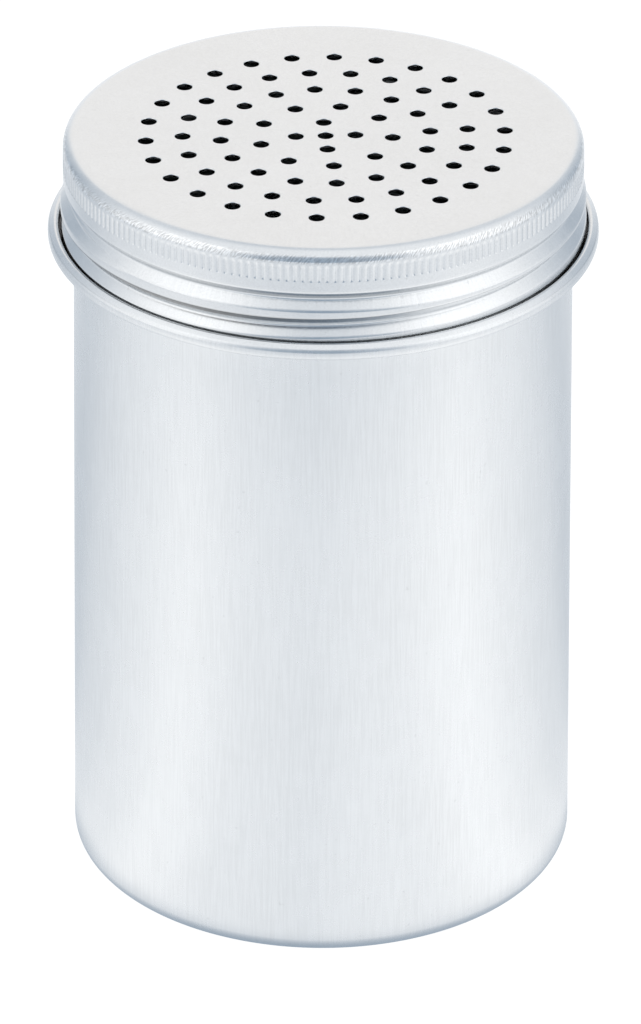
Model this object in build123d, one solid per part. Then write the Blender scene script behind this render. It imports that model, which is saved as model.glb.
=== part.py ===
from build123d import *
import math
import os

# Aluminium spice shaker: a drawn can, a threaded neck ring pressed into its mouth, and a
# perforated screw lid. Millimetres, +Z up, origin at the centre of the base on the table.
# Angles around the can are measured from +X towards +Y; the front is at -90 degrees.

# Driving dimensions of the can
can_radius = 33.5
can_sheet = 0.40
base_corner_radius = 2.0
base_recess_depth = 0.8
base_recess_radius = 25.0
recess_bend_radius = 1.2
rim_radius = 36.97
rim_top_height = 87.9
rim_inner_radius = 35.5
rim_curl_radius = 0.45
rim_curl_drop = 0.9
rim_slope_angle = 33.0
rim_edge_radius = 0.5
rim_face_height = 0.45
rim_low_bend_radius = 0.8
flare_angle = 80.0
flare_bend_radius = 0.7

# Driving dimensions of the neck ring
neck_sheet = 0.40
neck_bottom_height = 76.0
neck_curl_radius = 0.9
neck_curl_drop = 0.8

# Driving dimensions of the lid
lid_top_height = 99.9
lid_radius = 34.93
lid_sheet = 0.35
shoulder_top_radius = 2.67
shoulder_side_radius = 1.27
shoulder_change_angle = 35.0
lid_crest_radius = 35.3
lid_hem_radius = 34.9
lid_bottom_height = 86.2
lid_seat_gap = 0.05
groove_floor_radius = 34.1
ring_groove_height = 93.2
groove_upper_angle = 44.0
groove_lower_angle = 52.0
crest_bend_radius = 0.6
groove_bend_radius = 0.35
hem_bend_radius = 0.4
hem_height = 0.5
tuck_bend_radius = 0.6

# Fine vertical flutes pressed round the top of the skirt
flute_count = 210
flute_depth = 0.12
flute_radius = 0.40
flutes_top = 98.1
flutes_bottom = 95.95

# Sprinkle holes: rings of (number of holes, ring radius, first angle, angle between holes)
hole_radius = 1.05
hole_centre = (0.27, -0.5)
hole_rings = [
    (1, 0.0, 0.0, 360.0),
    (4, 4.0, 3.7, 90.0),
    (9, 9.0, 37.1, 40.0),
    (16, 14.1, 6.0, 22.5),
    (21, 19.15, 29.2, 16.87),
    (26, 24.1, 4.2, 360.0 / 26),
]

# Rolled screw thread, right-handed
thread_pitch = 3.47
front_angle = -90.0
lid_groove_front_height = 89.58
lid_groove_radius = 1.0
lid_groove_start = -150.0
lid_groove_end = 330.0
lid_run_out = 1.35
neck_thread_crest_radius = 33.45
neck_thread_radius = 0.6
neck_thread_start = -230.0
neck_thread_end = 200.0
neck_run_out = -0.7
run_out_angle = 50.0
path_step_angle = 15.0


def at(radius, height):
    """A point of a section drawn in the XZ plane."""
    return Vector(radius, 0, height)


def rotated(point, centre, degrees):
    """The point turned about a centre in the XZ plane, counter-clockwise seen with +X right and +Z up."""
    angle = math.radians(degrees)
    across = point.X - centre.X
    up = point.Z - centre.Z
    x = centre.X + across * math.cos(angle) - up * math.sin(angle)
    z = centre.Z + across * math.sin(angle) + up * math.cos(angle)
    return Vector(x, 0, z)


def strip_section(start, heading, moves, side_step):
    """Section of bent sheet metal.

    One face starts at a point and follows the moves: ("run", length) or ("bend", radius, turn),
    with a left turn positive. The other face lies side_step to its left, or to its right if negative.
    """
    near_edges = []
    far_edges = []
    here = start

    def left_of(degrees):
        angle = math.radians(degrees)
        return Vector(-math.sin(angle), 0, math.cos(angle))

    far_start = start + left_of(heading) * side_step
    for move in moves:
        far_here = here + left_of(heading) * side_step
        if move[0] == "run":
            angle = math.radians(heading)
            along = Vector(math.cos(angle), 0, math.sin(angle)) * move[1]
            near_edges.append(Line(here, here + along))
            far_edges.append(Line(far_here, far_here + along))
            here = here + along
        else:
            radius, turn = move[1], move[2]
            centre = here + left_of(heading) * math.copysign(radius, turn)
            middle = rotated(here, centre, turn / 2)
            end = rotated(here, centre, turn)
            near_edges.append(ThreePointArc(here, middle, end))
            far_middle = rotated(far_here, centre, turn / 2)
            far_end = rotated(far_here, centre, turn)
            far_edges.append(ThreePointArc(far_here, far_middle, far_end))
            here = end
            heading += turn
    far_end = here + left_of(heading) * side_step
    return start, near_edges, here, far_start, far_edges, far_end


def closed_face(start, near_edges, end, far_start, far_edges, far_end):
    """The sheet's own section, closed by its two cut ends."""
    caps = [Line(end, far_end), Line(far_start, start)]
    return make_face(near_edges + far_edges + caps)


def plug_face(start, edges, end):
    """The area between the axis and one face of the sheet."""
    foot = at(0, end.Z)
    return make_face(edges + [Line(end, foot), Line(foot, start)])


def turned(face):
    """A section revolved once around the can's axis."""
    return revolve(face, Axis.Z, 360)


def bend_drop(radius, degrees):
    """Sideways shift of a bend."""
    return radius * (1 - math.cos(math.radians(degrees)))


def helix_tube(radius, centre_radius, front_height, start, end, run_out):
    """A round bar wound along the thread; run_out moves it in or out at both ends."""
    count = round((end - start) / path_step_angle) + 1
    points = []
    for index in range(count):
        turn = start + (end - start) * index / (count - 1)
        to_end = min(turn - start, end - turn)
        ease = max(0.0, 1 - to_end / run_out_angle)
        r = centre_radius + run_out * ease * ease
        angle = math.radians(front_angle + turn)
        z = front_height + thread_pitch * turn / 360
        points.append((r * math.cos(angle), r * math.sin(angle), z))
    path = Spline(*points)
    profile = Plane(path @ 0, z_dir=path % 0) * Circle(radius)
    return sweep(profile, path=path)


def rim_runs():
    """Straight lengths in the rim: the sloping top and the flare; and the height where the wall ends."""
    slope = math.radians(rim_slope_angle)
    lean = math.radians(flare_angle)
    outer_bend = rim_edge_radius * (1 - math.sin(slope))
    inner_bend = rim_curl_radius * (1 + math.sin(slope))
    slope_run = (rim_radius - rim_inner_radius - outer_bend - inner_bend) / math.cos(slope)
    edge_bottom = rim_top_height - rim_curl_radius * (1 - math.cos(slope))
    edge_bottom -= slope_run * math.sin(slope) + rim_edge_radius * math.cos(slope)
    bends = flare_bend_radius + rim_low_bend_radius
    flare_run = (rim_radius - can_radius - bend_drop(bends, flare_angle)) / math.sin(lean)
    flare_height = bends * math.sin(lean) + flare_run * math.cos(lean)
    wall_top = edge_bottom - rim_face_height - flare_height
    return slope_run, flare_run, wall_top


def can_body():
    """Drawn can: recessed base, straight wall, flared mouth and a curled rim, all one sheet."""
    recess_turn = math.degrees(math.acos(1 - base_recess_depth / (2 * recess_bend_radius)))
    recess_run = 2 * recess_bend_radius * math.sin(math.radians(recess_turn))
    foot_run = can_radius - base_corner_radius - base_recess_radius - recess_run
    slope_run, flare_run, wall_top = rim_runs()
    moves = [
        ("run", base_recess_radius),
        ("bend", recess_bend_radius, -recess_turn),
        ("bend", recess_bend_radius, recess_turn),
        ("run", foot_run),
        ("bend", base_corner_radius, 90),
        ("run", wall_top - base_corner_radius),
        ("bend", flare_bend_radius, -flare_angle),
        ("run", flare_run),
        ("bend", rim_low_bend_radius, flare_angle),
        ("run", rim_face_height),
        ("bend", rim_edge_radius, 90 - rim_slope_angle),
        ("run", slope_run),
        ("bend", rim_curl_radius, 90 + rim_slope_angle),
        ("run", rim_curl_drop),
    ]
    section = strip_section(at(0, base_recess_depth), 0, moves, can_sheet)
    return turned(closed_face(*section))


def neck_ring():
    """Straight collar pressed into the can's mouth, with a rolled thread outside and a curled top."""
    outer_radius = can_radius - can_sheet
    neck_top = lid_top_height - lid_sheet - lid_seat_gap
    moves = [
        ("run", neck_top - neck_curl_radius - neck_bottom_height),
        ("bend", neck_curl_radius, 180),
        ("run", neck_curl_drop),
    ]
    section = strip_section(at(outer_radius, neck_bottom_height), 90, moves, neck_sheet)
    collar = turned(closed_face(*section))
    middle = lid_groove_front_height + thread_pitch / 2
    centre = neck_thread_crest_radius - neck_thread_radius
    place = (centre, middle, neck_thread_start, neck_thread_end, neck_run_out)
    outer = helix_tube(neck_thread_radius, *place)
    inner = helix_tube(neck_thread_radius - neck_sheet, *place)
    bore = Cylinder(outer_radius - neck_sheet, lid_top_height, align=(Align.CENTER, Align.CENTER, Align.MIN))
    return collar + (outer - bore) - inner


def lid_moves():
    """The lid's outer face from the middle of the top, over the shoulder and down the skirt."""
    change = math.radians(shoulder_change_angle)
    shoulder_width = shoulder_top_radius * math.sin(change) + shoulder_side_radius * (1 - math.sin(change))
    shoulder_height = shoulder_top_radius * (1 - math.cos(change)) + shoulder_side_radius * math.cos(change)
    bends = crest_bend_radius + groove_bend_radius
    upper = math.radians(groove_upper_angle)
    lower = math.radians(groove_lower_angle)
    in_run = (lid_radius - groove_floor_radius - bend_drop(bends, groove_upper_angle)) / math.sin(upper)
    out_run = (lid_crest_radius - groove_floor_radius - bend_drop(bends, groove_lower_angle)) / math.sin(lower)
    groove_top = ring_groove_height + bends * math.sin(upper) + in_run * math.cos(upper)
    groove_bottom = ring_groove_height - bends * math.sin(lower) - out_run * math.cos(lower)
    tuck_bends = 2 * tuck_bend_radius
    tuck_turn = math.degrees(math.acos(1 - (lid_crest_radius - lid_hem_radius) / tuck_bends))
    tuck_height = tuck_bends * math.sin(math.radians(tuck_turn))
    hem_top = lid_bottom_height + hem_bend_radius + hem_height
    return [
        ("run", lid_radius - shoulder_width),
        ("bend", shoulder_top_radius, -shoulder_change_angle),
        ("bend", shoulder_side_radius, shoulder_change_angle - 90),
        ("run", lid_top_height - shoulder_height - groove_top),
        ("bend", crest_bend_radius, -groove_upper_angle),
        ("run", in_run),
        ("bend", groove_bend_radius, groove_upper_angle + groove_lower_angle),
        ("run", out_run),
        ("bend", crest_bend_radius, -groove_lower_angle),
        ("run", groove_bottom - hem_top - tuck_height),
        ("bend", tuck_bend_radius, -tuck_turn),
        ("bend", tuck_bend_radius, tuck_turn),
        ("run", hem_height),
    ]


def flutes():
    """The cutters for the pressed flutes round the skirt."""
    height = flutes_top - flutes_bottom
    cutter = Cylinder(flute_radius, height, align=(Align.CENTER, Align.CENTER, Align.MIN))
    centre = lid_radius + flute_radius - flute_depth
    places = PolarLocations(centre, flute_count)
    return [Pos(0, 0, flutes_bottom) * place * cutter for place in places]


def sprinkle_holes():
    """The punches for the holes in the lid's top."""
    punches = []
    punch = Cylinder(hole_radius, 4 * lid_sheet)
    for count, ring, first, step in hole_rings:
        for index in range(count):
            angle = math.radians(first + step * index)
            x = hole_centre[0] + ring * math.cos(angle)
            y = hole_centre[1] + ring * math.sin(angle)
            punches.append(Pos(x, y, lid_top_height) * punch)
    return punches


def shaker_lid():
    """Pressed lid: one sheet whose thread groove shows on both faces, with a hemmed lower edge."""
    start, outer_edges, end, inner_start, inner_edges, inner_end = strip_section(
        at(0, lid_top_height), 0, lid_moves(), -lid_sheet
    )
    groove_centre = groove_floor_radius + lid_groove_radius
    place = (groove_centre, lid_groove_front_height, lid_groove_start, lid_groove_end, lid_run_out)
    groove = helix_tube(lid_groove_radius, *place)
    ridge = helix_tube(lid_groove_radius + lid_sheet, *place)
    outside = turned(plug_face(start, outer_edges, end)) - groove - flutes()
    inside = turned(plug_face(inner_start, inner_edges, inner_end)) - ridge
    hem_moves = [("bend", hem_bend_radius, -180), ("run", hem_height)]
    hem = turned(closed_face(*strip_section(end, -90, hem_moves, -lid_sheet)))
    return outside - inside + hem - sprinkle_holes()


os.makedirs("parts", exist_ok=True)
for build_piece in (can_body, neck_ring, shaker_lid):
    export_step(build_piece(), f"parts/{build_piece.__name__}.step")
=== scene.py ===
import math

import bpy
import numpy as np
from mathutils import Matrix, Vector
from mathutils.geometry import delaunay_2d_cdt


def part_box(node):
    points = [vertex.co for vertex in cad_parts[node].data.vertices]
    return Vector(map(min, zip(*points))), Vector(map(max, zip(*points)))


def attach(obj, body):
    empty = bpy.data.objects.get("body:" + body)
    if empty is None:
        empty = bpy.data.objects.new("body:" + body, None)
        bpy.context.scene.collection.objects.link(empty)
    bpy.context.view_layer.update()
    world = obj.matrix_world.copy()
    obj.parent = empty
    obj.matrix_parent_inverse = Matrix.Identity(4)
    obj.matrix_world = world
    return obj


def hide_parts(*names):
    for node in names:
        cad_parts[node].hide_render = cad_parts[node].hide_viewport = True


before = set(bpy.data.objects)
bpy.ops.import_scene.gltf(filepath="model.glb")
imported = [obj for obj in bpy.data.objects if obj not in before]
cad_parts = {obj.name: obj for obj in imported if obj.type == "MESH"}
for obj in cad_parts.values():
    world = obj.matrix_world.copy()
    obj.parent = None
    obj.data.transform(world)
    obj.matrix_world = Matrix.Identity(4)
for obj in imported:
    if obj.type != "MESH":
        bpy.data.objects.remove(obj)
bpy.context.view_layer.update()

# An aluminium spice shaker in a white studio. Lengths are in metres; sizes of details are given in
# millimetres times MM. Named angles are in degrees. Angles round the tin are measured from the front
# (-Y) towards +X.

MM = 0.001

# Places taken from the frame
rim_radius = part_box("can_body")[1].x
rim_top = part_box("can_body")[1].z
lid_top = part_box("shaker_lid")[1].z
lid_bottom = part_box("shaker_lid")[0].z
neck_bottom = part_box("neck_ring")[0].z
neck_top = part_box("neck_ring")[1].z

# Can
can_radius = 33.5 * MM
can_sheet = 0.40 * MM
base_corner = 2.0 * MM
base_recess = 0.8 * MM
base_recess_radius = 25.0 * MM
recess_bend = 1.2 * MM
rim_inner = 35.5 * MM
rim_curl = 0.45 * MM
rim_curl_drop = 0.9 * MM
rim_slope = 36.0
rim_edge = 0.8 * MM
rim_face = 0.25 * MM
rim_low_bend = 0.8 * MM
flare_angle = 80.0
flare_bend = 0.7 * MM
can_sides = 360
can_bend_step = 6.0
can_run_step = 3 * MM

# Painted shade in the channel behind the rim, where the tin lies in shade: its share at the front, how
# much more there is at the sides, the turns over which it grows, and the depths under the rim's top
# between which it reaches its full share
trough_shade_front = 0.15
trough_shade_sides = 0.80
trough_shade_turns = (30.0, 75.0)
trough_shade_depths = (0.4 * MM, 0.8 * MM)

# Neck ring
neck_sheet = 0.40 * MM
neck_thread_bottom = 88.0 * MM
neck_radius = 33.1 * MM
neck_curl = 0.9 * MM
neck_curl_drop = 0.8 * MM
neck_thread_height = 0.3 * MM
neck_thread_width = 0.55 * MM
neck_thread_start = -180.0
neck_thread_end = 200.0
neck_thread_run_out = 50.0
neck_sides = 180
neck_bend_step = 10.0
neck_run_step = 0.2 * MM

# Lid
lid_radius = 34.93 * MM
lid_sheet = 0.35 * MM
shoulder_top_bend = 2.67 * MM
shoulder_side_bend = 1.27 * MM
shoulder_change = 35.0
shoulder_bend_step = 7.0
flat_edge_row = 0.25 * MM
lid_hem_radius = 34.9 * MM
hem_bend = 0.4 * MM
hem_height = 0.5 * MM
hem_bend_pieces = 8
hem_gap = 0.02 * MM
lid_crest = 35.3 * MM
groove_floor = 34.1 * MM
crest_clear = 0.15 * MM
ring_groove_bottom = 93.2 * MM
ring_groove_upper = 1.35 * MM
ring_groove_lower = 1.45 * MM
flute_count = 210
flute_depth = 0.16 * MM
flute_valley = (0.03, 0.18)    # half widths of a valley's floor and of the valley, as shares of a flute
flute_gather = 0.45
flutes_top = 98.1 * MM
flutes_bottom = 95.95 * MM
flutes_margin = 0.06 * MM
wall_row_step = 0.065 * MM
wall_row_clear = 0.3 * MM
inner_row_every = 4
hole_radius = 1.05 * MM
hole_sides = 24
hole_flat_steps = (0.16 * MM, 0.10 * MM)
hole_edge_steps = ((0.045 * MM, 0.02 * MM), (0.01 * MM, 0.06 * MM), (0.0, 0.12 * MM))    # out, down
hole_under_steps = (0.02 * MM, 0.0)
hole_centre = Vector((0.27, -0.5)) * MM
hole_rings = [    # number of holes, ring radius in millimetres, first angle from +X, step
    (1, 0.0, 0.0, 360.0),
    (4, 4.0, 3.7, 90.0),
    (9, 9.0, 37.1, 40.0),
    (16, 14.1, 6.0, 22.5),
    (21, 19.15, 29.2, 16.87),
    (26, 24.1, 4.2, 360.0 / 26),
]

# Thread
thread_pitch = 3.47 * MM
groove_front_height = 89.58 * MM
groove_upper = 1.8 * MM
groove_lower = 1.75 * MM
groove_start = -150.0
groove_end = 330.0
groove_run_in = 60.0
groove_run_out = 50.0
groove_blend = 0.12 * MM

# Bends at the foot and at the top of a flank, as shares of the flank's height
ring_upper_bends = (0.3, 0.4)
ring_lower_bends = (0.15, 0.28)
groove_upper_bends = (0.15, 0.3)
groove_lower_bends = (0.12, 0.38)

# Heights in millimetres over the lid's lower edge between which the skirt draws in to the hem
hem_draw_in = (1.7, 0.95)

# Painted shade on the lid, standing in for the shade and dark reflections in its folds: its strongest
# share, then the heights in millimetres over its line and the turns round the tin where it starts, is
# full, fades and ends
fold_shade = 0.32
fold_shade_heights = (-1.35, -1.0, -0.5, -0.2)
fold_shade_turns = (-68.0, -20.0, 0.0, 48.0)
groove_shade = 0.62
groove_shade_left = 0.26
groove_shade_left_turns = (0.0, -25.0)
groove_shade_heights = (0.3, 0.75, 1.2, 1.65)
groove_shade_turns = (-80.0, -58.0, -12.0, 30.0)
hem_shade = 0.25
hem_shade_heights = (0.9, 1.1, 1.5, 2.1)
hem_shade_turns = (-57.0, -22.0, -2.0, 33.0)
side_shade = 0.85
side_shade_heights = (1.3, 0.8)
side_shade_turns = (50.0, 72.0, 105.0, 130.0)
shade_over_fold = 0.2 * MM
shade_skin = 0.1 * MM


def smooth(x, low, high):
    """0 at low, 1 at high, eased; low may be the larger."""
    t = min(1.0, max(0.0, (x - low) / (high - low)))
    return t * t * (3 - 2 * t)


def between(x, start, full, fading, end):
    """0 outside start to end, 1 from full to fading, eased in between."""
    return smooth(x, start, full) * smooth(x, end, fading)


# ---------------------------------------------------------------- sections of bent sheet

def bent_path(start, heading, moves, bend_step, run_step=None):
    """Points (r, z, heading) along runs and bends; a left turn is positive. bend_step is the turn in
    degrees from one point to the next, run_step their distance; without it a run is one piece."""
    r, z = start
    out = [(r, z, heading)]
    for move in moves:
        if move[0] == "run":
            pieces = 1 if run_step is None else max(1, round(move[1] / run_step))
            a = math.radians(heading)
            for i in range(pieces):
                r += math.cos(a) * move[1] / pieces
                z += math.sin(a) * move[1] / pieces
                out.append((r, z, heading))
        else:
            radius, turn = move[1], move[2]
            side = math.copysign(1.0, turn)
            a = math.radians(heading)
            cr = r - math.sin(a) * radius * side
            cz = z + math.cos(a) * radius * side
            pieces = max(2, round(abs(turn) / bend_step))
            for i in range(1, pieces + 1):
                b = math.radians(heading + turn * i / pieces)
                out.append((cr + math.sin(b) * radius * side,
                            cz - math.cos(b) * radius * side,
                            heading + turn * i / pieces))
            r, z, heading = out[-1]
    return out


def offset(path, step):
    """The other face of the sheet, step to the left of the path."""
    out = []
    for r, z, heading in path:
        a = math.radians(heading)
        out.append((max(0.0, r - math.sin(a) * step), z + math.cos(a) * step, heading))
    return out


def new_object(name, verts, faces, material, painted_shade_at=None):
    """painted_shade_at(angle, r, z) says how much painted shade darkens the metal there, 0 to 1."""
    mesh = bpy.data.meshes.new(name)
    mesh.from_pydata(verts, [], faces)
    mesh.validate()
    mesh.update()
    painted_shade = mesh.attributes.new("painted_shade", "FLOAT", "POINT")
    if painted_shade_at:
        shares = [painted_shade_at(math.atan2(x, -y), math.hypot(x, y), z) for x, y, z in verts]
        painted_shade.data.foreach_set("value", shares)
    mesh.polygons.foreach_set("use_smooth", [True] * len(mesh.polygons))
    mesh.materials.append(material)
    obj = bpy.data.objects.new(name, mesh)
    bpy.context.scene.collection.objects.link(obj)
    return obj


class Rings:
    """A skin built ring by ring; a ring is a list of vertex indices round the tin."""

    def __init__(self):
        self.verts = []
        self.faces = []

    def ring(self, count, place, warp=None):
        """place(angle in radians from the front) gives (r, z); warp may shift the angles."""
        first = len(self.verts)
        for i in range(count):
            a = 2 * math.pi * i / count
            if warp:
                a = warp(a)
            r, z = place(a)
            self.verts.append((r * math.sin(a), -r * math.cos(a), z))
        return list(range(first, first + count))

    def point(self, z):
        self.verts.append((0.0, 0.0, z))
        return [len(self.verts) - 1]

    def join(self, upper, lower):
        """Faces between two rings; seen from outside, lower lies below upper."""
        if len(upper) == 1 or len(lower) == 1:
            n = max(len(upper), len(lower))
            for i in range(n):
                j = (i + 1) % n
                if len(upper) == 1:
                    self.faces.append((upper[0], lower[i], lower[j]))
                else:
                    self.faces.append((upper[i], lower[0], upper[j]))
            return
        if len(upper) == len(lower):
            n = len(upper)
            for i in range(n):
                j = (i + 1) % n
                self.faces.append((upper[i], lower[i], lower[j], upper[j]))
            return
        fine, coarse = (upper, lower) if len(upper) > len(lower) else (lower, upper)
        k = len(fine) // len(coarse)
        n = len(coarse)
        for i in range(n):
            j = (i + 1) % n
            middle = i * k + k // 2
            for s in range(k):
                f0 = fine[i * k + s]
                f1 = fine[(i * k + s + 1) % len(fine)]
                c = coarse[i] if i * k + s < middle else coarse[j]
                self.faces.append((f0, c, f1) if fine is upper else (f0, f1, c))
            fm = fine[middle]
            if fine is upper:
                self.faces.append((fm, coarse[i], coarse[j]))
            else:
                self.faces.append((coarse[i], fm, coarse[j]))


def lathe(name, outline, count, material, wobble=None, painted_shade_at=None):
    """A closed solid of revolution from an outline that starts and ends on the axis, or closes on
    itself. wobble(angle, r, z) moves a point outwards."""
    skin = Rings()
    rings = []
    shift = wobble or (lambda a, r, z: 0.0)
    on_axis = 1e-7
    for r, z in outline:
        if r < on_axis:
            rings.append(skin.point(z))
        else:
            rings.append(skin.ring(count, lambda a: (r + shift(a, r, z), z)))
    for a, b in zip(rings, rings[1:]):
        skin.join(a, b)
    if len(rings[0]) > 1:
        skin.join(rings[-1], rings[0])
    return new_object(name, skin.verts, skin.faces, material, painted_shade_at)


# ---------------------------------------------------------------- materials and light

# How the studio's light turns blue as it dims: blue over red in the dark, its fall for each unit of
# light, the least there is, and green over red as a share of it
dark_blue = 0.25
blue_fall = 0.19
least_blue = 0.02
green_share = 0.46

# Patterns in the metal, as noise cells to a metre, and how far the lines are drawn out
cloud_scale = 70.0
patch_scale = 420.0
grain_scale = 4200.0
hair_scale = 3600.0
hair_stretch = 0.05
stroke_scale = 6200.0
stroke_stretch = 0.14
speck_scale = 1500.0
bump_strength = 0.05
bump_distance = 0.03 * MM

# Depths under the lid's top where the handling strokes start, are full, fade and end
worn_depths = (1.6 * MM, 1.3 * MM, 0.8 * MM, 0.35 * MM)


class Nodes:
    """Shorthand for building a node tree."""

    def __init__(self, name, world=False):
        self.owner = (bpy.data.worlds if world else bpy.data.materials).new(name)
        self.owner.use_nodes = True
        self.tree = self.owner.node_tree
        self.tree.nodes.clear()

    def add(self, kind, inputs=None, **settings):
        node = self.tree.nodes.new(kind)
        for key, value in settings.items():
            setattr(node, key, value)
        for key, value in (inputs or {}).items():
            if isinstance(value, bpy.types.NodeSocket):
                self.tree.links.new(value, node.inputs[key])
            else:
                node.inputs[key].default_value = value
        return node

    def math(self, operation, a, b=0.0, c=0.0):
        return self.add("ShaderNodeMath", {0: a, 1: b, 2: c}, operation=operation).outputs[0]

    def remap(self, value, low, high, out_low=0.0, out_high=1.0):
        inputs = {"Value": value, "From Min": low, "From Max": high,
                  "To Min": out_low, "To Max": out_high}
        return self.add("ShaderNodeMapRange", inputs, clamp=True,
                        interpolation_type="SMOOTHSTEP").outputs[0]

    def mix(self, share, a, b):
        return self.add("ShaderNodeMix", {0: share, 2: a, 3: b}, data_type="FLOAT").outputs[0]

    def mix_colour(self, share, a, b, **settings):
        return self.add("ShaderNodeMix", {0: share, 6: a, 7: b}, data_type="RGBA", **settings).outputs[2]

    def noise(self, vector, scale, detail=2.0, roughness=0.5):
        return self.add("ShaderNodeTexNoise", {"Vector": vector, "Scale": scale, "Detail": detail,
                                               "Roughness": roughness}).outputs["Fac"]

    def placed(self, vector, scale=(1, 1, 1), turn=(0, 0, 0)):
        inputs = {"Vector": vector, "Scale": scale, "Rotation": turn}
        return self.add("ShaderNodeMapping", inputs).outputs[0]

    def angle(self, x, y):
        """The turn from the front, in radians."""
        return self.math("ARCTAN2", x, self.math("MULTIPLY", y, -1.0))

    def around(self, x, y):
        """Degrees away from the front, 0 to 180, and the side: -1 left, 1 right."""
        turn = self.math("MULTIPLY", self.angle(x, y), 180 / math.pi)
        return self.math("ABSOLUTE", turn), self.math("SIGN", turn)

    def levels(self, degrees, stops):
        """Light level by degrees away from the front. A ramp only holds 0 to 1, so it stores half."""
        node = self.add("ShaderNodeValToRGB", {0: self.math("DIVIDE", degrees, 180.0)})
        ramp = node.color_ramp
        ramp.interpolation = "EASE"
        while len(ramp.elements) < len(stops):
            ramp.elements.new(1.0)
        for element, (place, level) in zip(ramp.elements, stops):
            element.position = place / 180
            element.color = (level / 2, level / 2, level / 2, 1)
        return self.math("MULTIPLY", node.outputs[0], 2.0)

    def cool(self, level):
        """A light level as a colour: the dimmer, the bluer."""
        falling = self.math("SUBTRACT", dark_blue, self.math("MULTIPLY", level, blue_fall))
        blue = self.math("MAXIMUM", falling, least_blue)
        green = self.math("MULTIPLY", blue, green_share)
        return self.add("ShaderNodeCombineColor", {0: level, 1: self.math("ADD", level, green),
                                                   2: self.math("ADD", level, blue)}).outputs[0]


def aluminium(name, colour, roughness, anisotropy, grain, streak_turn=0.0, streaks=0.0):
    """Bare aluminium: fine grain, uneven sheen, hairline scratches and small specks. With streaks,
    slanting strokes from handling lie on the shoulder of the lid."""
    n = Nodes(name)
    coords = n.add("ShaderNodeTexCoord").outputs["Object"]
    xyz = n.add("ShaderNodeSeparateXYZ", {0: coords}).outputs
    across = n.math("MULTIPLY", n.angle(xyz[0], xyz[1]), can_radius)
    squares = n.math("ADD", n.math("MULTIPLY", xyz[0], xyz[0]), n.math("MULTIPLY", xyz[1], xyz[1]))
    radius = n.math("SQRT", squares)
    down_shoulder = n.math("SUBTRACT", xyz[2], radius)
    skin = n.add("ShaderNodeCombineXYZ", {0: across, 1: xyz[2], 2: 0.0}).outputs[0]
    slant = n.add("ShaderNodeCombineXYZ", {0: across, 1: down_shoulder, 2: 0.0}).outputs[0]
    slant = n.placed(slant, turn=(0, 0, math.radians(streak_turn)))

    cloud = n.noise(coords, cloud_scale, 3.0)
    patches = n.noise(coords, patch_scale, 3.0, 0.6)
    grains = n.noise(n.placed(coords, (1.0, 1.0, grain)), grain_scale, 2.0)
    hairs = n.noise(n.placed(skin, (1.0, hair_stretch, 1.0)), hair_scale, 2.0)
    strokes = n.noise(n.placed(slant, (1.0, stroke_stretch, 1.0)), stroke_scale, 3.0, 0.6)
    specks = n.remap(n.noise(coords, speck_scale, 1.0), 0.73, 0.79)
    start, full, fading, end = (lid_top - depth for depth in worn_depths)
    worn = n.math("MULTIPLY", n.remap(xyz[2], start, full), n.remap(xyz[2], end, fading))
    worn = n.math("MULTIPLY", worn, streaks)

    rough = n.math("ADD", n.remap(cloud, 0.3, 0.7, roughness - 0.015, roughness + 0.025),
                   n.remap(patches, 0.3, 0.7, -0.015, 0.015))
    rough = n.math("ADD", rough, n.remap(hairs, 0.35, 0.65, -0.03 * streaks, 0.05 * streaks))

    # Painted shade kept on the mesh darkens the metal's colour where hollows and folds stand in shade
    painted_shade = n.add("ShaderNodeAttribute", attribute_name="painted_shade").outputs["Fac"]
    painted_shade = n.math("MULTIPLY", painted_shade, n.remap(patches, 0.3, 0.7, 0.92, 1.0))
    tone = n.remap(cloud, 0.25, 0.75, 0.985, 1.012)
    for share in (n.remap(grains, 0.3, 0.7, 0.975, 1.02),
                  n.remap(patches, 0.3, 0.7, 0.99, 1.01),
                  n.remap(specks, 0.0, 1.0, 1.0, 0.93),
                  n.math("SUBTRACT", 1.0, painted_shade),
                  n.mix(worn, 1.0, n.remap(strokes, 0.42, 0.58, 0.78, 1.14))):
        tone = n.math("MULTIPLY", tone, share)
    grey = n.add("ShaderNodeCombineColor", {0: tone, 1: tone, 2: tone}).outputs[0]
    tint = n.mix_colour(1.0, colour, grey, blend_type="MULTIPLY")

    hair_height = n.math("MULTIPLY", hairs, 1.0 + 4.0 * streaks)
    stroke_height = n.math("MULTIPLY", n.math("MULTIPLY", strokes, worn), 0.3)
    height = n.math("ADD", n.math("MULTIPLY", grains, 0.5), hair_height)
    height = n.math("ADD", height, stroke_height)
    bump = n.add("ShaderNodeBump", {"Strength": bump_strength, "Distance": bump_distance,
                                    "Height": height})
    tangent = n.add("ShaderNodeTangent", direction_type="RADIAL", axis="Z")
    shader = n.add("ShaderNodeBsdfPrincipled", {
        "Base Color": tint, "Metallic": 1.0, "Roughness": rough,
        "Anisotropic": anisotropy, "Anisotropic Rotation": 0.0,
        "Normal": bump.outputs[0], "Tangent": tangent.outputs[0]})
    n.add("ShaderNodeOutputMaterial", {"Surface": shader.outputs[0]})
    return n.owner


# ---------------------------------------------------------------- can

def rim_runs():
    """Straight lengths in the rim: the sloping top and the flare; and the height where the wall ends."""
    slope = math.radians(rim_slope)
    lean = math.radians(flare_angle)
    bends_across = rim_edge * (1 - math.sin(slope)) + rim_curl * (1 + math.sin(slope))
    slope_run = (rim_radius - rim_inner - bends_across) / math.cos(slope)
    edge_bottom = rim_top - rim_curl * (1 - math.cos(slope)) - slope_run * math.sin(slope)
    edge_bottom -= rim_edge * math.cos(slope)
    bends = flare_bend + rim_low_bend
    flare_run = (rim_radius - can_radius - bends * (1 - math.cos(lean))) / math.sin(lean)
    flare_height = bends * math.sin(lean) + flare_run * math.cos(lean)
    return slope_run, flare_run, edge_bottom - rim_face - flare_height


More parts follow.
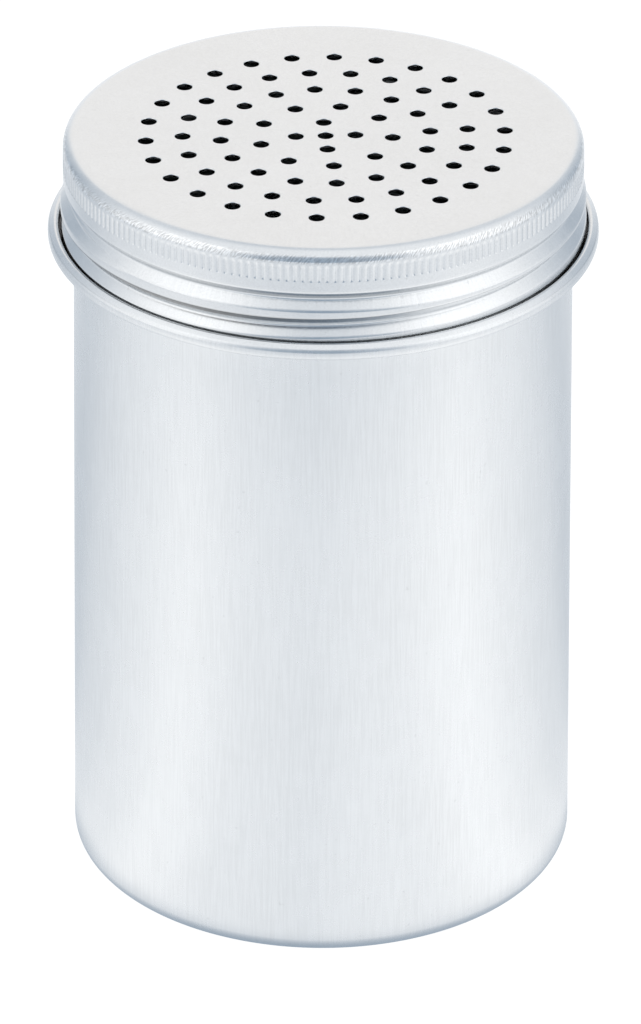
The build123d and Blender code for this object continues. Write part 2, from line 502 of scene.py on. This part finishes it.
def can_shell():
    recess_turn = math.degrees(math.acos(1 - base_recess / (2 * recess_bend)))
    recess_run = 2 * recess_bend * math.sin(math.radians(recess_turn))
    slope_run, flare_run, wall_top = rim_runs()
    moves = [
        ("run", base_recess_radius),
        ("bend", recess_bend, -recess_turn),
        ("bend", recess_bend, recess_turn),
        ("run", can_radius - base_corner - base_recess_radius - recess_run),
        ("bend", base_corner, 90),
        ("run", wall_top - base_corner),
        ("bend", flare_bend, -flare_angle),
        ("run", flare_run),
        ("bend", rim_low_bend, flare_angle),
        ("run", rim_face),
        ("bend", rim_edge, 90 - rim_slope),
        ("run", slope_run),
        ("bend", rim_curl, 90 + rim_slope),
        ("run", rim_curl_drop),
    ]
    outer = bent_path((0.0, base_recess), 0, moves, can_bend_step, can_run_step)
    inner = offset(outer, can_sheet)
    outline = [(r, z) for r, z, _ in inner] + [(r, z) for r, z, _ in reversed(outer)]
    rising = math.tan(math.radians(90 - flare_angle))

    def trough_shade(angle, r, z):
        """Painted shade in the channel between rim and neck, which lies in shade; it clears towards the
        lip.
        """
        underside = wall_top + flare_bend + (r - can_radius) * rising
        if z < underside + can_sheet / 4 or r > rim_radius - can_sheet / 2:
            return 0.0
        clear, full = (rim_top - depth for depth in trough_shade_depths)
        share = trough_shade_front + trough_shade_sides * smooth(abs(math.degrees(angle)), *trough_shade_turns)
        return share * smooth(z, clear, full)

    return lathe("can_shell", outline, can_sides, body_metal, painted_shade_at=trough_shade)


# ---------------------------------------------------------------- neck

def neck_thread(angle, z):
    """1 on the line of the thread, falling off to each side, and fading out at its two ends."""
    front_height = groove_front_height + thread_pitch / 2
    best = 0.0
    base = math.degrees(angle)
    for lap in (-2, -1, 0, 1):
        turn = base + 360 * lap
        from_end = min(turn - neck_thread_start, neck_thread_end - turn)
        if from_end <= 0:
            continue
        distance = z - front_height - thread_pitch * turn / 360
        side = math.exp(-((distance / neck_thread_width) ** 2))
        best = max(best, smooth(from_end, 0.0, neck_thread_run_out) * side)
    return best


def neck_collar():
    moves = [
        ("run", neck_top - neck_curl - neck_bottom),
        ("bend", neck_curl, 180),
        ("run", neck_curl_drop),
    ]
    path = bent_path((neck_radius, neck_bottom), 90, moves, neck_bend_step, neck_run_step)
    inside_wall = neck_radius - neck_sheet - 0.01 * MM

    def ridge(angle, r, z):
        """Both faces of the wall carry the thread; the curled top doesn't."""
        if r > inside_wall and neck_thread_bottom < z < neck_top - neck_curl:
            return neck_thread_height * neck_thread(angle, z)
        return 0.0

    outline = [(r, z) for r, z, _ in offset(path, neck_sheet)]
    outline += [(r, z) for r, z, _ in reversed(path)]
    return lathe("neck_collar", outline, neck_sides, neck_metal, wobble=ridge)


# ---------------------------------------------------------------- lid

def rise(t, low_bend, high_bend):
    """0 to 1 along a flank: a bend at the foot, a straight slope, a bend at the top."""
    t = min(1.0, max(0.0, t))
    full = 1 - (low_bend + high_bend) / 2
    if t < low_bend:
        return t * t / (2 * low_bend) / full
    if t < 1 - high_bend:
        return (t - low_bend / 2) / full
    return 1 - (1 - t) ** 2 / (2 * high_bend) / full


def soft_min(a, b, blend):
    """The smaller of two, with a rounded change-over."""
    near = max(0.0, blend - abs(a - b))
    return min(a, b) - near * near / (4 * blend)


def ring_profile(z):
    """Outer radius of the skirt without the thread: grip band, ring groove and thread band."""
    if z > ring_groove_bottom:
        up = (z - ring_groove_bottom) / ring_groove_upper
        return groove_floor + (lid_radius - groove_floor) * rise(up, *ring_upper_bends)
    down = (ring_groove_bottom - z) / ring_groove_lower
    r = groove_floor + (lid_crest - groove_floor) * rise(down, *ring_lower_bends)
    return r - (lid_crest - lid_hem_radius) * smooth((z - lid_bottom) / MM, *hem_draw_in)


def lid_wall(angle, z):
    """Outer radius of the skirt below the grip band: a ring groove, then the rolled thread."""
    r = ring_profile(z)
    base = math.degrees(angle)
    for lap in (-1, 0, 1):
        turn = base + 360 * lap
        strength = smooth(turn, groove_start, groove_start + groove_run_in)
        strength *= smooth(turn, groove_end, groove_end - groove_run_out)
        if strength <= 0:
            continue
        up = z - groove_front_height - thread_pitch * turn / 360
        depth = strength * (lid_crest - groove_floor) + crest_clear
        if up > 0:
            flank = rise(up / groove_upper, *groove_upper_bends)
        else:
            flank = rise(-up / groove_lower, *groove_lower_bends)
        r = soft_min(r, lid_crest + crest_clear - depth * (1 - flank), groove_blend)
    return r


def hole_places():
    places = []
    for count, ring, first, step in hole_rings:
        for i in range(count):
            a = math.radians(first + step * i)
            places.append(hole_centre + Vector((math.cos(a), math.sin(a))) * ring * MM)
    return places


def hole_loop(skin, centre, radius, height):
    """Adds a circle of vertices round a hole and gives their indices."""
    first = len(skin.verts)
    for s in range(hole_sides):
        a = 2 * math.pi * s / hole_sides
        p = centre + Vector((math.cos(a), math.sin(a))) * radius
        skin.verts.append((p.x, p.y, height))
    return list(range(first, first + hole_sides))


def join_loops(skin, loops, facing_up=True):
    """Faces between loops of one hole, from the outermost inwards."""
    for a, b in zip(loops, loops[1:]):
        for s in range(hole_sides):
            t = (s + 1) % hole_sides
            quad = (a[s], a[t], b[t], b[s])
            skin.faces.append(quad if facing_up else quad[::-1])


def perforated_disc(skin, edge_ring, height, steps, facing_up):
    """Flat disc with holes inside a ring of the skin. steps are the distances outside a hole's radius
    of its loops in the plane, outermost first. Returns the innermost loop of each hole."""
    points = [Vector(skin.verts[i][:2]) for i in edge_ring]
    index = list(edge_ring)
    count = len(edge_ring)
    edges = [(i, (i + 1) % count) for i in range(count)]
    centres = hole_places()
    innermost = []
    for centre in centres:
        loops = [hole_loop(skin, centre, hole_radius + step, height) for step in steps]
        base = len(points)
        for i in loops[0]:
            points.append(Vector(skin.verts[i][:2]))
            index.append(i)
        edges += [(base + s, base + (s + 1) % hole_sides) for s in range(hole_sides)]
        join_loops(skin, loops, facing_up)
        innermost.append(loops[-1])
    weld = 1e-9
    out_points, _, out_faces, origin, _, _ = delaunay_2d_cdt(points, edges, [], 0, weld)
    lookup = [index[o[0]] for o in origin]
    # A triangle whose middle lies in a hole is left out; the hole counts as a little smaller than it is
    inside_hole = ((hole_radius + steps[0]) * 0.98) ** 2
    for face in out_faces:
        middle = sum((Vector(out_points[i]) for i in face), Vector((0, 0))) / len(face)
        if any((middle - c).length_squared < inside_hole for c in centres):
            continue
        ids = tuple(lookup[i] for i in face)
        skin.faces.append(ids if facing_up else ids[::-1])
    return innermost


def lid_painted_shade(angle, r, z):
    """Painted shade for the shade and dark reflections in the folds: under the grip band, along the
    groove, over the hem, and low at the sides.
    """
    fold_height = ring_groove_bottom + ring_groove_upper
    outside = r > lid_wall(angle, z) - shade_skin
    if z > fold_height + shade_over_fold or not outside:
        return 0.0
    turn = math.degrees(angle)
    over_fold = (z - fold_height) / MM
    over_groove = (z - groove_front_height - thread_pitch * turn / 360) / MM
    over_edge = (z - lid_bottom) / MM
    fold = fold_shade * between(over_fold, *fold_shade_heights) * between(turn, *fold_shade_turns)
    groove = groove_shade + groove_shade_left * smooth(turn, *groove_shade_left_turns)
    groove *= between(over_groove, *groove_shade_heights) * between(turn, *groove_shade_turns)
    hem = hem_shade * between(over_edge, *hem_shade_heights) * between(turn, *hem_shade_turns)
    sides = side_shade * smooth(over_edge, *side_shade_heights) * between(abs(turn), *side_shade_turns)
    return max(fold, groove, hem, sides)


def fluted(z, share):
    """A ring of the grip band; share is how deep its valleys are there."""
    def place(a):
        phase = (a * flute_count / (2 * math.pi)) % 1.0
        valley = 1 - smooth(abs(phase - 0.5), *flute_valley)
        return lid_radius - flute_depth * share * valley, z
    return place


def gather(a):
    """Moves the vertices of a flute towards its middle."""
    phase = a * flute_count / (2 * math.pi)
    rounding = 1e-6
    whole = math.floor(phase + rounding)
    side = phase - whole - 0.5
    closer = flute_gather + 2 * (1 - flute_gather) * abs(side)
    return (whole + 0.5 + side * closer) * 2 * math.pi / flute_count


def lid_shell():
    """One closed skin: from the top's edge down the outside, round the hem, up the inside, then the
    two perforated faces and the walls of the holes."""
    skin = Rings()
    coarse, fine = 2 * flute_count, 6 * flute_count
    turn = math.radians(shoulder_change)
    flat_radius = lid_radius - shoulder_side_bend
    flat_radius -= (shoulder_top_bend - shoulder_side_bend) * math.sin(turn)
    moves = [("bend", shoulder_top_bend, -shoulder_change),
             ("bend", shoulder_side_bend, shoulder_change - 90)]
    shoulder = bent_path((flat_radius, lid_top), 0, moves, shoulder_bend_step)
    under_shoulder = offset(shoulder, -lid_sheet)
    rings = [skin.ring(coarse, lambda a: (flat_radius - flat_edge_row, lid_top))]
    for r, z, _ in shoulder:
        rings.append(skin.ring(coarse, lambda a: (r, z)))

    grip_band = [
        (flutes_top + flutes_margin, 0.0),
        (flutes_top - 0.05 * MM, 0.45),
        (flutes_top - 0.2 * MM, 0.85),
        (flutes_top - 0.4 * MM, 1.0),
        (flutes_bottom + 0.4 * MM, 1.0),
        (flutes_bottom + 0.2 * MM, 1.0),
        (flutes_bottom + flutes_margin, 0.85),
        (flutes_bottom - flutes_margin, 0.0),
    ]
    for z, share in grip_band:
        rings.append(skin.ring(fine, fluted(z, share), gather))

    fold_height = ring_groove_bottom + ring_groove_upper
    rows = [flutes_bottom - 2 * flutes_margin, fold_height + wall_row_clear]
    z = fold_height
    wall_bottom = lid_bottom + hem_bend
    while z > wall_bottom + wall_row_clear:
        rows.append(z)
        z -= wall_row_step
    rows.append(wall_bottom)
    for z in rows:
        rings.append(skin.ring(coarse, lambda a: (lid_wall(a, z), z)))

    hem_centre = lid_wall(0.0, wall_bottom) - hem_bend
    for i in range(1, hem_bend_pieces + 1):
        b = math.radians(180 / hem_bend_pieces * i)
        r, z = hem_centre + hem_bend * math.cos(b), wall_bottom - hem_bend * math.sin(b)
        rings.append(skin.ring(coarse, lambda a: (r, z)))
    hem_end = wall_bottom + hem_height
    rings.append(skin.ring(coarse, lambda a: (hem_centre - hem_bend, hem_end)))

    inner_rows = [hem_end + hem_gap]
    inner_rows += [z for z in rows[::-inner_row_every] if z > inner_rows[0]]
    for z in inner_rows:
        rings.append(skin.ring(coarse, lambda a: (lid_wall(a, z) - lid_sheet, z)))
    for r, z, _ in reversed(under_shoulder):
        rings.append(skin.ring(coarse, lambda a: (r, z)))
    for a, b in zip(rings, rings[1:]):
        skin.join(a, b)

    top_loops = perforated_disc(skin, rings[0], lid_top, hole_flat_steps, True)
    under_loops = perforated_disc(skin, rings[-1], lid_top - lid_sheet, hole_under_steps, False)
    for centre, top, under in zip(hole_places(), top_loops, under_loops):
        edge = [hole_loop(skin, centre, hole_radius + out, lid_top - down)
                for out, down in hole_edge_steps]
        join_loops(skin, [top] + edge + [under])
    return new_object("lid_shell", skin.verts, skin.faces, lid_metal, lid_painted_shade)


body_metal = aluminium("drawn_aluminium", (0.77, 0.787, 0.80, 1),
                       roughness=0.26, anisotropy=0.4, grain=0.04)
lid_metal = aluminium("pressed_aluminium", (0.77, 0.785, 0.797, 1),
                      roughness=0.19, anisotropy=0.2, grain=1.0, streak_turn=32.0, streaks=1.0)
neck_metal = aluminium("rolled_aluminium", (0.72, 0.73, 0.745, 1),
                       roughness=0.33, anisotropy=0.2, grain=1.0)

for make, node, body in ((can_shell, "can_body", "can"),
                         (neck_collar, "neck_ring", "can"),
                         (lid_shell, "shaker_lid", "lid")):
    piece = make()
    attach(piece, body)
    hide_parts(node)


# ---------------------------------------------------------------- studio

# Light levels that the metal mirrors, by degrees away from the front
near_floor = [(0, 1.04), (25, 1.09), (58, 1.24), (82, 1.09),
              (105, 0.94), (135, 0.70), (160, 0.80), (180, 1.15)]
far_floor = [(0, 0.92), (28, 1.02), (60, 1.14), (92, 1.03),
             (118, 0.77), (148, 0.95), (165, 1.2), (180, 1.2)]
low_studio = [(0, 0.35), (28, 0.50), (40, 1.05), (60, 1.35), (90, 1.2), (104, 0.95),
              (119, 0.72), (138, 0.52), (150, 0.65), (160, 1.0), (180, 1.10)]
high_studio = [(0, 0.36), (20, 0.56), (34, 1.05), (60, 1.48), (90, 1.40),
               (112, 1.18), (130, 1.0), (152, 0.82), (180, 0.75)]
overhead = 1.06
back_wall = (1.11, 1.085, 1.065, 1)
studio_power = 0.94
right_gain = 0.02

# Heights in degrees over the horizon where one light level gives way to the next
high_from = (22.0, 52.0)
overhead_from = (50.0, 72.0)
floor_from = (1.0, -9.0)
wall_foot = (4.0, 14.0)
wall_head = (46.0, 38.0)
wall_turns = (152.0, 163.0)

# The table top, by distance from the tin's axis
table_radius = 0.9
table_sides = 96
far_from = (0.11, 0.24)
edge_from = (0.195, 0.215)
edge_share = 0.90
# A contact shadow painted into the table's glow round the tin's foot, as the metal mirrors it
contact_shadow_from = (can_radius - 2 * MM, can_radius + 5 * MM)
contact_shadow_share = 0.35
table_diffuse = 0.12
table_glow = 0.97

# What the camera sees behind the table
backdrop = (1.2, 1.2, 1.2, 1)


def floor():
    """A round white table top; in the metal it looks dimmer to the front and to the far sides, and a
    contact shadow is painted into its glow round the tin's foot.
    """
    points = [(0.0, 0.0, 0.0)]
    for i in range(table_sides):
        a = 2 * math.pi * i / table_sides
        points.append((table_radius * math.cos(a), table_radius * math.sin(a), 0.0))
    faces = [(0, 1 + i, 1 + (i + 1) % table_sides) for i in range(table_sides)]
    mesh = bpy.data.meshes.new("floor")
    mesh.from_pydata(points, [], faces)
    obj = bpy.data.objects.new("floor", mesh)
    bpy.context.scene.collection.objects.link(obj)
    n = Nodes("pale_floor")
    place = n.add("ShaderNodeTexCoord").outputs["Object"]
    xyz = n.add("ShaderNodeSeparateXYZ", {0: place}).outputs
    far = n.add("ShaderNodeVectorMath", {0: place}, operation="LENGTH").outputs["Value"]
    degrees, side = n.around(xyz[0], xyz[1])
    level = n.mix(n.remap(far, *far_from), n.levels(degrees, near_floor), n.levels(degrees, far_floor))
    level = n.math("MULTIPLY", level, n.math("ADD", 1.0, n.math("MULTIPLY", side, right_gain)))
    level = n.math("MULTIPLY", level, n.remap(far, *contact_shadow_from, contact_shadow_share, 1.0))
    level = n.math("MULTIPLY", level, n.remap(far, *edge_from, 1.0, edge_share))
    mirrored = n.add("ShaderNodeEmission", {"Color": n.cool(level), "Strength": studio_power}).outputs[0]
    grey = (table_diffuse, table_diffuse, table_diffuse, 1)
    diffuse = n.add("ShaderNodeBsdfDiffuse", {"Color": grey}).outputs[0]
    glow = n.add("ShaderNodeEmission", {"Color": (1, 1, 1, 1), "Strength": table_glow}).outputs[0]
    plain = n.add("ShaderNodeAddShader", {0: diffuse, 1: glow}).outputs[0]
    seen = n.add("ShaderNodeLightPath").outputs["Is Camera Ray"]
    shown = n.add("ShaderNodeMixShader", {0: seen, 1: mirrored, 2: plain}).outputs[0]
    n.add("ShaderNodeOutputMaterial", {"Surface": shown})
    mesh.materials.append(n.owner)


def studio_world():
    """White studio. The metal mirrors a dim front, where the camera stands, a tall soft box on each
    side, dim far corners and a white wall behind; the camera itself sees plain white."""
    n = Nodes("studio", world=True)
    bpy.context.scene.world = n.owner
    direction = n.add("ShaderNodeTexCoord").outputs["Generated"]
    xyz = n.add("ShaderNodeSeparateXYZ", {0: direction}).outputs
    degrees, side = n.around(xyz[0], xyz[1])
    height = n.math("MULTIPLY", n.math("ARCSINE", xyz[2]), 180 / math.pi)
    low, high = n.levels(degrees, low_studio), n.levels(degrees, high_studio)
    level = n.mix(n.remap(height, *high_from), low, high)
    level = n.mix(n.remap(height, *overhead_from), level, overhead)
    level = n.mix(n.remap(height, *floor_from), level, n.levels(degrees, far_floor))
    level = n.math("MULTIPLY", level, n.math("ADD", 1.0, n.math("MULTIPLY", side, right_gain)))
    wall = n.math("MULTIPLY", n.remap(degrees, *wall_turns), n.remap(height, *wall_foot))
    wall = n.math("MULTIPLY", wall, n.remap(height, *wall_head))
    colour = n.mix_colour(wall, n.cool(level), back_wall)
    seen = n.add("ShaderNodeLightPath").outputs["Is Camera Ray"]
    colour = n.mix_colour(seen, colour, backdrop)
    power = n.mix(seen, studio_power, 1.0)
    background = n.add("ShaderNodeBackground", {"Color": colour, "Strength": power}).outputs[0]
    n.add("ShaderNodeOutputWorld", {"Surface": background})


def camera():
    """A view camera: the sensor stands steeper than the line of sight, so upright lines stay parallel.
    """
    distance = 33.03 * can_radius
    elevation = math.radians(27.7)
    film_tilt = math.radians(10.46)
    roll = math.radians(0.204)
    aim = Vector((0, 0, 1.6 * can_radius))
    radius_in_view = 0.38714            # the can's radius at the aim, as a share of the picture's width
    aim_in_view = (0.00309, 0.09028)    # right of and above the picture's centre, in the same shares
    width, height = 641, 1024
    eye = aim + distance * Vector((0, -math.cos(elevation), math.sin(elevation)))
    forward = Vector((0, math.cos(film_tilt), -math.sin(film_tilt)))
    up0 = Vector((0, math.sin(film_tilt), math.cos(film_tilt)))
    right0 = Vector((1, 0, 0))
    right = right0 * math.cos(roll) + up0 * math.sin(roll)
    up = up0 * math.cos(roll) - right0 * math.sin(roll)
    depth = (aim - eye).dot(forward)
    focal = radius_in_view * depth / can_radius
    shift_x = aim_in_view[0] - focal * (aim - eye).dot(right) / depth
    shift_y = aim_in_view[1] - focal * (aim - eye).dot(up) / depth
    middle = forward - right * (shift_x / focal) - up * (shift_y / focal)
    data = bpy.data.cameras.new("camera")
    data.lens = focal * middle.length * width / height * data.sensor_width
    data.clip_start, data.clip_end = 0.05, 50.0
    obj = bpy.data.objects.new("camera", data)
    holder = bpy.data.objects.new("camera_holder", None)
    for o in (obj, holder):
        bpy.context.scene.collection.objects.link(o)
    # The view is sheared: it is made of a turn and a stretch in the holder, and a turn of the camera
    wanted = np.array([right, up, -middle.normalized()]).T
    turn, stretch, inner = np.linalg.svd(wanted)
    if np.linalg.det(turn) < 0:
        turn[:, 2] *= -1
        inner[2, :] *= -1
    holder.rotation_mode = obj.rotation_mode = "QUATERNION"
    holder.location = eye
    holder.rotation_quaternion = Matrix(turn.tolist()).to_quaternion()
    holder.scale = stretch.tolist()
    obj.parent = holder
    obj.rotation_quaternion = Matrix(inner.tolist()).to_quaternion()
    bpy.context.scene.camera = obj


floor()
studio_world()
camera()
bpy.context.scene.view_settings.view_transform = "Standard"
